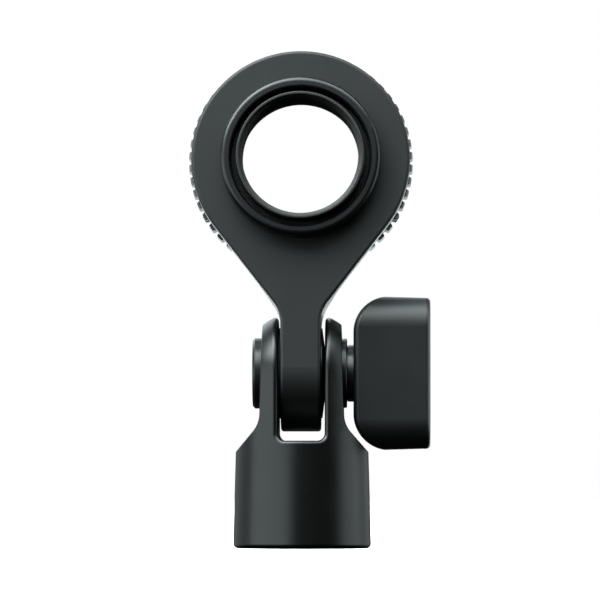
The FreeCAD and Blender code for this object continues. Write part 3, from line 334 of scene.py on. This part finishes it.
# %% [markdown]
# ## The ridges as pieces
# The ridge starts at the bore's mouth. A mount's own place may lie deeper in the piece, so the mouth
# is measured on the mesh, as the farthest that the piece reaches along the thread's axis. The skin
# could come out inside out, which its signed volume shows, and then its faces are turned round.

# %% Turn a skin into a piece
SHARP_ANGLE = 50


def mouth_of(mount, holder):
    """Where the thread's axis leaves the piece that holds it: as far as it reaches along the axis."""
    corners = np.empty(len(holder.data.vertices) * 3)
    holder.data.vertices.foreach_get("co", corners)
    turn = np.array(holder.matrix_world)
    axis, on_axis = np.array(mount["axis"]), np.array(mount["pos_m"])
    reach = ((corners.reshape(-1, 3) @ turn[:3, :3].T + turn[:3, 3] - on_axis) @ axis).max()
    return on_axis + reach * axis


def wind_ridge(name, mount, holder, crest_radius, pitch, start, length, lead, body):
    """A ridge as a mesh object that rides on a body, with its faces turned outwards."""
    mouth = mouth_of(mount, holder)
    points, faces = ridge_skin(mount, mouth, crest_radius, pitch, start, length, lead)
    if volume_of(points, faces) < 0:
        faces = [face[::-1] for face in faces]
    mesh = bpy.data.meshes.new(name)
    mesh.from_pydata(points.tolist(), [], faces)
    mesh.shade_smooth()
    mesh.set_sharp_from_angle(angle=math.radians(SHARP_ANGLE))
    ridge = bpy.data.objects.new(name, mesh)
    bpy.context.collection.objects.link(ridge)
    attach(ridge, body)
    print(name, len(faces), "faces", round(volume_of(points, faces) / MM**3, 2), "mm3")
    return ridge


for name, holder in (("mic_thread", "thread_sleeve"), ("stand_socket", "stand_yoke")):
    mouth = mouth_of(mounts[name], nodes[holder])
    print(name, "opens at", [round(float(value), 4) for value in mouth])

# %% [markdown]
# ## Both threads
# A stand's thread has 27 turns to the inch, and a cut thread is about 0.54 of its pitch deep. The
# microphone's thread is fine, 0.75 mm a turn. Its ridge is 0.52 mm high, a little more than the
# 0.41 mm of a real one, because lower lines don't show. It stops well before the sleeve's back,
# whose wall is left plain. The front box lights this ridge too, as it does the sleeve round it.

# %% Wind a ridge down each threaded bore
INCH = 25.4 * MM
STAND_TURNS_PER_INCH = 27
DEPTH_PER_PITCH = 0.54
MIC_PITCH = 0.75 * MM
MIC_HEIGHT = 0.52 * MM
MIC_CREST = mounts["mic_thread"]["dims"]["r_mm"] * MM - MIC_HEIGHT
STAND_PITCH = INCH / STAND_TURNS_PER_INCH
STAND_HEIGHT = DEPTH_PER_PITCH * STAND_PITCH
STAND_CREST = mounts["stand_socket"]["dims"]["r_mm"] * MM - STAND_HEIGHT

mic_ridge = wind_ridge(
    "mic_thread_ridge",
    mounts["mic_thread"],
    nodes["thread_sleeve"],
    MIC_CREST,
    MIC_PITCH,
    start=0.1 * MM,
    length=8.4 * MM,
    lead=0.6 * MM,
    body="ring",
)
stand_ridge = wind_ridge(
    "stand_thread_ridge",
    mounts["stand_socket"],
    nodes["stand_yoke"],
    STAND_CREST,
    STAND_PITCH,
    start=0.6 * MM,
    length=14.1 * MM,
    lead=0.7 * MM,
    body="stand",
)
bpy.data.objects["front_softbox"].light_linking.receiver_collection.objects.link(mic_ridge)

# %% [markdown]
# ## Black enamel
# The foot, the arm, the collar and the thumb ring are steel under stoved black enamel. The
# sprayed coat flows a little before it bakes, which leaves a faint orange peel about a millimetre
# across, and dust in the coat leaves a finer grit. Both are only a few thousandths of a millimetre
# deep, so they are bump, not shape. They could be painted as an image, but noise in the object's
# own coordinates needs no seams. IOR 1.5 is usual for enamel. The foot was turned and polished
# before it was coated, and the collar was turned, so both have a smoother coat with tighter
# streaks of light. The arm and the thumb ring were blasted first and have the duller, satin one.

# %% Mix the enamel
NOISE_LOW, NOISE_HIGH = 0.3, 0.7


def coat_bump(tree, place, coarse_mm, coarse_depth_mm, fine_mm, fine_depth_mm):
    """Two heights of noise, one on the other, each by its width and its depth in millimetres."""
    normal = None
    for width, depth, detail in ((coarse_mm, coarse_depth_mm, 2.0), (fine_mm, fine_depth_mm, 1.0)):
        noise = add_node(
            tree, "ShaderNodeTexNoise", {"Vector": place, "Scale": 1 / (width * MM), "Detail": detail}
        )
        bump = add_node(
            tree, "ShaderNodeBump", {"Height": noise.outputs["Fac"], "Distance": depth * MM}
        )
        if normal is not None:
            tree.links.new(normal, bump.inputs["Normal"])
        normal = bump.outputs[0]
    return normal


def coated(name, colours, roughness, spread, bump_sizes, cloud_mm=9.0, **shader_values):
    """A dielectric coat: clouds of cloud_mm shift its colour and its roughness, bump gives grain."""
    material, tree, shader, place = new_material(name, **shader_values)
    clouds = add_node(
        tree, "ShaderNodeTexNoise", {"Vector": place, "Scale": 1 / (cloud_mm * MM), "Detail": 3.0}
    ).outputs["Fac"]
    dull = add_node(
        tree,
        "ShaderNodeMapRange",
        {
            "Value": clouds,
            "From Min": NOISE_LOW,
            "From Max": NOISE_HIGH,
            "To Min": roughness - spread,
            "To Max": roughness + spread,
        },
    )
    tint = add_node(
        tree,
        "ShaderNodeMix",
        {"Factor": clouds, "A": linear(colours[0]), "B": linear(colours[1])},
        data_type="RGBA",
    )
    tree.links.new(tint.outputs["Result"], shader.inputs["Base Color"])
    tree.links.new(dull.outputs[0], shader.inputs["Roughness"])
    tree.links.new(coat_bump(tree, place, *bump_sizes), shader.inputs["Normal"])
    return material


# each grain is: coarse width, its depth, fine width, its depth, all in millimetres
ORANGE_PEEL = (1.1, 0.004, 0.12, 0.0009)
foot_enamel = coated(
    "polished_black_enamel", ("#030303", "#050606"), 0.34, 0.02, ORANGE_PEEL, IOR=1.5
)
satin_enamel = coated(
    "satin_black_enamel", ("#060707", "#090a0a"), 0.5, 0.025, ORANGE_PEEL, IOR=1.5
)
collar_enamel = coated(
    "smooth_black_enamel", ("#060707", "#090a0a"), 0.3, 0.02, ORANGE_PEEL, IOR=1.5
)
print("enamels:", foot_enamel.name, satin_enamel.name, collar_enamel.name)

# %% [markdown]
# ## Blackened, turned metal
# The sleeve, the bolt, the ear's washer and the knob's insert were turned on a lathe and then
# blackened in a hot salt bath. The skin of black oxide is dark like paint and soaked with oil, and
# it hides the metal: it shines as an oiled plastic does, so its IOR is 1.5 to 1.6 and nothing here
# is metallic. The lathe's tool leaves rings round each part's own axis. They could follow a UV
# map, but a distance from the axis, worked out with a few vector nodes, fits any turned piece. A
# real feed is about 0.05 mm a turn; it is drawn at 0.16 mm, because finer rings don't show.

# %% Blacken the turned pieces
FEED_MM = 0.16
RING_DEPTH_MM = 0.0015
CREST_SHINE = 0.05
pivot_centre = (Vector(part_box("pivot_bolt")[0]) + Vector(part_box("pivot_bolt")[1])) / 2
PIVOT_AXIS = (tuple(pivot_centre), (1.0, 0.0, 0.0))
RING_AXIS = (tuple(mounts["mic_thread"]["pos_m"]), tuple(mounts["mic_thread"]["axis"]))


def turning_rings(tree, place, centre, axis):
    """Noise that changes only along an axis and away from it, so it forms rings round the axis.

    With arm = place - centre, the height along the axis is arm . axis, and the distance from it is
    the length of arm - (arm . axis) axis.
    """
    vector_maths = "ShaderNodeVectorMath"
    arm = add_node(tree, vector_maths, {0: place, 1: centre}, operation="SUBTRACT").outputs[0]
    along = add_node(tree, vector_maths, {0: arm, 1: axis}, operation="DOT_PRODUCT").outputs["Value"]
    on_axis = add_node(tree, vector_maths, {0: axis, "Scale": along}, operation="SCALE").outputs[0]
    away = add_node(tree, vector_maths, {0: arm, 1: on_axis}, operation="SUBTRACT").outputs[0]
    radius = add_node(tree, vector_maths, {0: away}, operation="LENGTH").outputs["Value"]
    rings = add_node(tree, "ShaderNodeCombineXYZ", {"X": along, "Y": radius})
    return add_node(
        tree,
        "ShaderNodeTexNoise",
        {"Vector": rings.outputs[0], "Scale": 1 / (FEED_MM * MM), "Detail": 1.0},
    ).outputs["Fac"]


def turned(name, colour, roughness, axis_line, **shader_values):
    """A turned piece: rings give the height, and the crests are a little smoother than the valleys."""
    material, tree, shader, place = new_material(name, Base_Color=linear(colour), **shader_values)
    rings = turning_rings(tree, place, *axis_line)
    dull = add_node(
        tree,
        "ShaderNodeMapRange",
        {
            "Value": rings,
            "From Min": NOISE_LOW,
            "From Max": NOISE_HIGH,
            "To Min": roughness + CREST_SHINE,
            "To Max": roughness - CREST_SHINE,
        },
    )
    bump = add_node(tree, "ShaderNodeBump", {"Height": rings, "Distance": RING_DEPTH_MM * MM})
    tree.links.new(dull.outputs[0], shader.inputs["Roughness"])
    tree.links.new(bump.outputs[0], shader.inputs["Normal"])
    return material


black_thread = turned("blackened_turned_thread", "#0d0c0b", 0.54, RING_AXIS, IOR=1.5)
black_fastener = turned("blackened_turned_steel", "#0b0c0c", 0.38, PIVOT_AXIS, IOR=1.55)
black_insert = turned("blackened_turned_brass", "#0f0f0e", 0.36, PIVOT_AXIS, IOR=1.6)
print("blackened:", black_thread.name, black_fastener.name, black_insert.name)

# %% [markdown]
# ## Metal that shines as metal
# Four finishes let the metal show. The thrust shim is spring steel, dark with oil. The domed washer
# is blued: heated until its skin turned dark. The bush is turned bronze. The small screws are steel
# under a black skin so thin that it only dims the shine. A metal has no colour of its own under the
# shine, so its colour is that of the reflection, and the shader's metallic value is 1 with its
# default IOR.

# %% Turn the bare metals
oiled_steel = turned("oiled_shim_steel", "#3a3b3d", 0.35, PIVOT_AXIS, Metallic=1.0)
blued_steel = turned("blued_spring_steel", "#2a2c31", 0.34, PIVOT_AXIS, Metallic=1.0)
bronze = turned("turned_bearing_bronze", "#b08a4e", 0.32, PIVOT_AXIS, Metallic=1.0)
screw_steel = turned("blackened_screw_steel", "#4b4c4e", 0.38, RING_AXIS, Metallic=1.0)
print("metals:", oiled_steel.name, blued_steel.name, bronze.name, screw_steel.name)

# %% [markdown]
# ## Moulded and pressed blacks
# The wing knob and its cap are moulded nylon. The steel mould was spark-eroded, which leaves a fine
# even grain on the part; nylon's IOR is 1.53. The two slip washers are punched from nylon sheet.
# The friction disc is vulcanised fibre: paper pressed hard, matt, with a felted grain.

# %% Mould the plastics
MOULD_GRAIN = (1.6, 0.002, 0.2, 0.0016)
SHEET_GRAIN = (0.8, 0.003, 0.15, 0.001)
FELTED_GRAIN = (0.9, 0.012, 0.2, 0.008)
knob_nylon = coated(
    "moulded_black_nylon", ("#0a0a0b", "#0d0e0f"), 0.47, 0.02, MOULD_GRAIN, IOR=1.53
)
sheet_nylon = coated(
    "punched_black_nylon", ("#0e0e0f", "#131314"), 0.45, 0.03, SHEET_GRAIN, IOR=1.53
)
fibre = coated(
    "vulcanised_fibre", ("#151413", "#211f1d"), 0.75, 0.05, FELTED_GRAIN, cloud_mm=2.0, IOR=1.5
)
print("plastics:", knob_nylon.name, sheet_nylon.name, fibre.name)

# %% [markdown]
# ## Dress the pieces
# The record names a material slot for each piece, and one table says which finish each slot gets.
# The foot and the collar share the arm's slot but have smoother coats, so a second table names
# their finishes by piece. Each ridge is dressed as the bore that it was cut in.

# %% Give every piece its finish
FINISHES = {
    "black_finished_steel": satin_enamel,
    "blackened_thread": black_thread,
    "blackened_fastener": black_fastener,
    "blackened_spring_steel": blued_steel,
    "steel_shim": oiled_steel,
    "friction_fibre": fibre,
    "bronze_bush": bronze,
    "slip_nylon": sheet_nylon,
    "steel_screws": screw_steel,
    "moulded_knob": knob_nylon,
    "blackened_insert": black_insert,
}
OWN_FINISHES = {"stand_yoke": foot_enamel, "front_collar": collar_enamel}


def dress(piece, finish):
    """Gives every face of a piece one finish."""
    piece.data.materials.clear()
    piece.data.materials.append(finish)


for part in record["subparts"]:
    slot = part["material_slot"]
    finish = OWN_FINISHES.get(part["node"], FINISHES[slot])
    dress(nodes[part["node"]], finish)
dress(mic_ridge, black_thread)
dress(stand_ridge, foot_enamel)
print("dressed:", len(record["subparts"]), "CAD pieces and two ridges")
